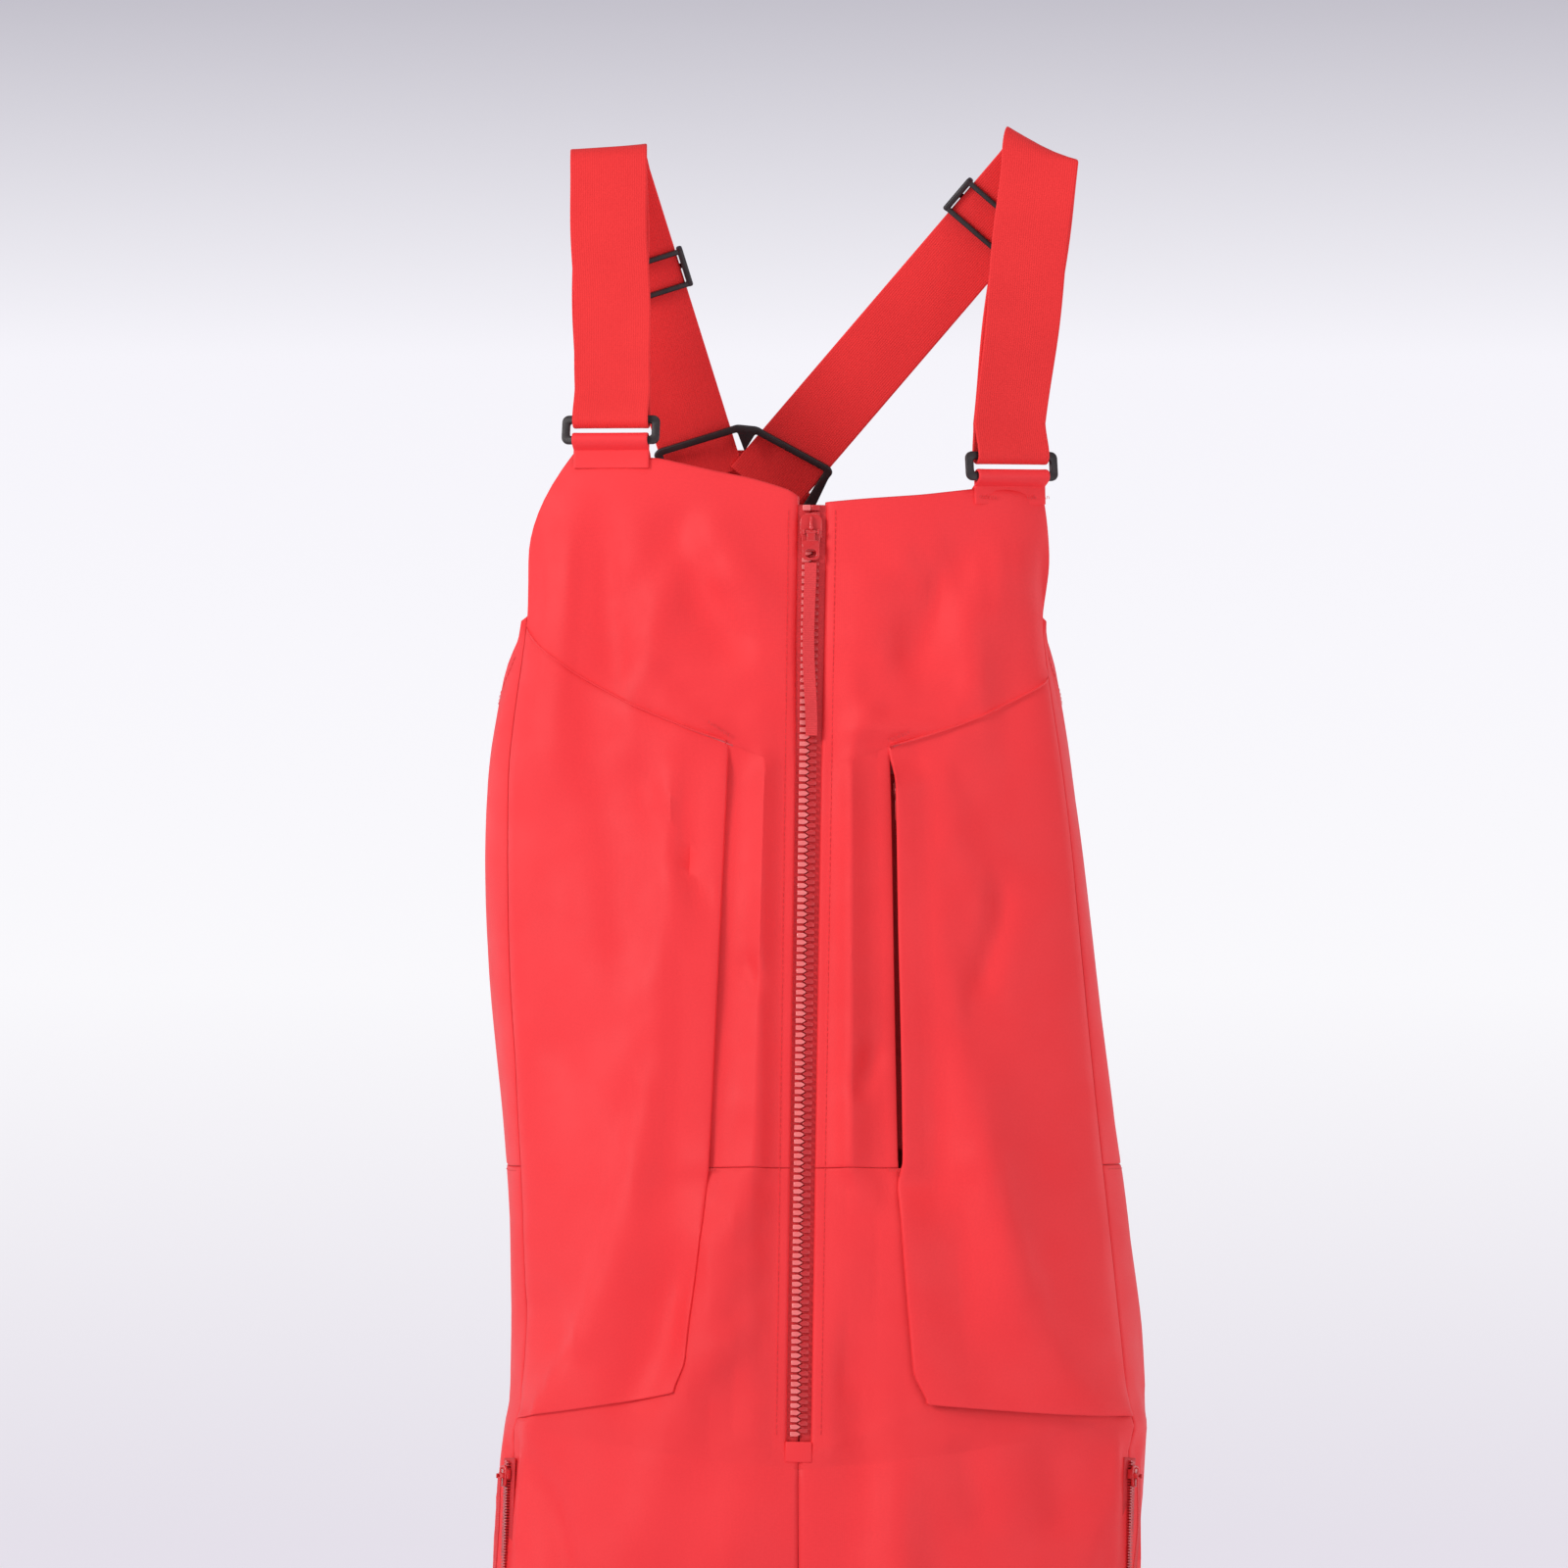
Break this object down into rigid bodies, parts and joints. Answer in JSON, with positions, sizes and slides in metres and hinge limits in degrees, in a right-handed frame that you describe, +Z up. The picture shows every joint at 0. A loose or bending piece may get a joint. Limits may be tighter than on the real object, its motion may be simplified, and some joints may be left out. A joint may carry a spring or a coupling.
{
  "type": "ski bib pants",
  "caption": "Hardshell ski bib pants with adjustable crossed shoulder straps, a front zip, side pockets, thigh vents and gaiters.",
  "frame": {"origin": "the hanging point, midway between the two shoulder folds at the height of their tops", "axes": "+Z up, -Y the way the wearer faces, +X the wearer's left"},
  "size_m": [0.3561, 0.2049, 1.5595],
  "materials": {
    "shell_cloth": "coral red coated plain-weave shell, soft sheen",
    "webbing": "red ribbed woven webbing",
    "black_plastic": "matte moulded black",
    "zip_teeth": "moulded red teeth",
    "zip_tape": "woven red tape",
    "zip_metal": "red painted slider and pull",
    "pull_ribbon": "red grosgrain ribbon",
    "scuff_cloth": "black heavy plain weave",
    "gaiter_cloth": "dark grey light plain weave",
    "lining_mesh": "dark red tricot",
    "hook_metal": "bent steel"
  },
  "bodies": {
    "garment": {"back_band": "webbing", "back_panel": "shell_cloth", "back_yoke": "black_plastic", "chest_panel_left": "shell_cloth", "chest_panel_right": "shell_cloth", "front_zip_bottom_tack": "shell_cloth", "front_zip_stop_left": "zip_teeth", "front_zip_stop_right": "zip_teeth", "front_zip_tape_left": "zip_tape", "front_zip_tape_right": "zip_tape", "front_zip_teeth_left": "zip_teeth", "front_zip_teeth_right": "zip_teeth", "gaiter_hook_left": "hook_metal", "gaiter_hook_right": "hook_metal", "gaiter_left": "gaiter_cloth", "gaiter_right": "gaiter_cloth", "leg_back_left": "shell_cloth", "leg_back_right": "shell_cloth", "leg_front_left": "shell_cloth", "leg_front_right": "shell_cloth", "pocket_bag_left": "lining_mesh", "pocket_bag_right": "lining_mesh", "pocket_panel_left": "shell_cloth", "pocket_panel_right": "shell_cloth", "pocket_zip_left": "zip_tape", "pocket_zip_right": "zip_tape", "scuff_guard_left": "scuff_cloth", "scuff_guard_right": "scuff_cloth", "shoulder_strap_left": "webbing", "shoulder_strap_right": "webbing", "strap_tab_left": "webbing", "strap_tab_right": "webbing", "vent_zip_left": "zip_tape", "vent_zip_right": "zip_tape", "wind_flap": "shell_cloth"},
    "front_slider": {"front_zip_slider": "zip_metal"},
    "front_pull": {"front_zip_pull": "zip_metal"},
    "front_ribbon": {"front_zip_ribbon": "pull_ribbon"},
    "vent_slider_left": {"vent_zip_left_slider": "zip_metal"},
    "vent_pull_left": {"vent_zip_left_pull": "pull_ribbon"},
    "pocket_slider_left": {"pocket_zip_left_slider": "zip_metal"},
    "pocket_pull_left": {"pocket_zip_left_pull": "zip_metal"},
    "ring_left": {"ring_left": "black_plastic"},
    "adjuster_left": {"adjuster_left": "black_plastic", "strap_end_left": "webbing"},
    "vent_slider_right": {"vent_zip_right_slider": "zip_metal"},
    "vent_pull_right": {"vent_zip_right_pull": "pull_ribbon"},
    "pocket_slider_right": {"pocket_zip_right_slider": "zip_metal"},
    "pocket_pull_right": {"pocket_zip_right_pull": "zip_metal"},
    "ring_right": {"ring_right": "black_plastic"},
    "adjuster_right": {"adjuster_right": "black_plastic", "strap_end_right": "webbing"}
  },
  "joints": [
    {"name": "front_zip_slide", "type": "slide", "parent": "garment", "child": "front_slider", "axis": [-0.0135, -0.0969, -0.9952], "range_m": [0, 0.436]},
    {"name": "front_pull_swing", "type": "hinge", "parent": "front_slider", "child": "front_pull", "pos_m": [0.00289, -0.04924, -0.19266], "axis": [-0.9999, 0, 0.0136], "range_deg": [0, 100]},
    {"name": "front_ribbon_swing", "type": "hinge", "parent": "front_pull", "child": "front_ribbon", "pos_m": [0.00269, -0.05067, -0.20729], "axis": [-0.9999, 0, 0.0136], "range_deg": [0, 70]},
    {"name": "vent_zip_slide_left", "type": "slide", "parent": "garment", "child": "vent_slider_left", "axis": [-0.0323, -0.0761, -0.9966], "range_m": [0, 0.208]},
    {"name": "vent_pull_swing_left", "type": "hinge", "parent": "vent_slider_left", "child": "vent_pull_left", "pos_m": [0.16631, -0.04642, -0.65787], "axis": [-0.5086, -0.8571, 0.082], "range_deg": [0, 100]},
    {"name": "pocket_zip_slide_left", "type": "slide", "parent": "garment", "child": "pocket_slider_left", "axis": [0.0192, -0.0957, -0.9952], "range_m": [0, 0.166]},
    {"name": "pocket_pull_swing_left", "type": "hinge", "parent": "pocket_slider_left", "child": "pocket_pull_left", "pos_m": [0.04656, -0.05737, -0.31998], "axis": [-0.997, -0.077, -0.0118], "range_deg": [0, 10]},
    {"name": "ring_tilt_left", "type": "hinge", "parent": "garment", "child": "ring_left", "pos_m": [0.10206, -0.03447, -0.1652], "axis": [0.9254, 0.3789, 0], "range_deg": [-4, 4]},
    {"name": "adjuster_slide_left", "type": "slide", "parent": "garment", "child": "adjuster_left", "axis": [-0.6404, 0.1915, -0.7438], "range_m": [0, 0.12]},
    {"name": "vent_zip_slide_right", "type": "slide", "parent": "garment", "child": "vent_slider_right", "axis": [-0.0313, -0.0761, -0.9966], "range_m": [0, 0.208]},
    {"name": "vent_pull_swing_right", "type": "hinge", "parent": "vent_slider_right", "child": "vent_pull_right", "pos_m": [-0.15264, -0.0468, -0.65736], "axis": [-0.4784, 0.8766, -0.052], "range_deg": [0, 100]},
    {"name": "pocket_zip_slide_right", "type": "slide", "parent": "garment", "child": "pocket_slider_right", "axis": [-0.0462, -0.0917, -0.9947], "range_m": [0, 0.166]},
    {"name": "pocket_pull_swing_right", "type": "hinge", "parent": "pocket_slider_right", "child": "pocket_pull_right", "pos_m": [-0.04425, -0.05784, -0.31998], "axis": [-0.9972, 0.0635, 0.0405], "range_deg": [0, 10]},
    {"name": "ring_tilt_right", "type": "hinge", "parent": "garment", "child": "ring_right", "pos_m": [-0.09591, -0.0388, -0.14732], "axis": [0.9836, -0.1802, 0], "range_deg": [-4, 4]},
    {"name": "adjuster_slide_right", "type": "slide", "parent": "garment", "child": "adjuster_right", "axis": [0.2886, 0.2604, -0.9214], "range_m": [0, 0.06]}
  ]
}
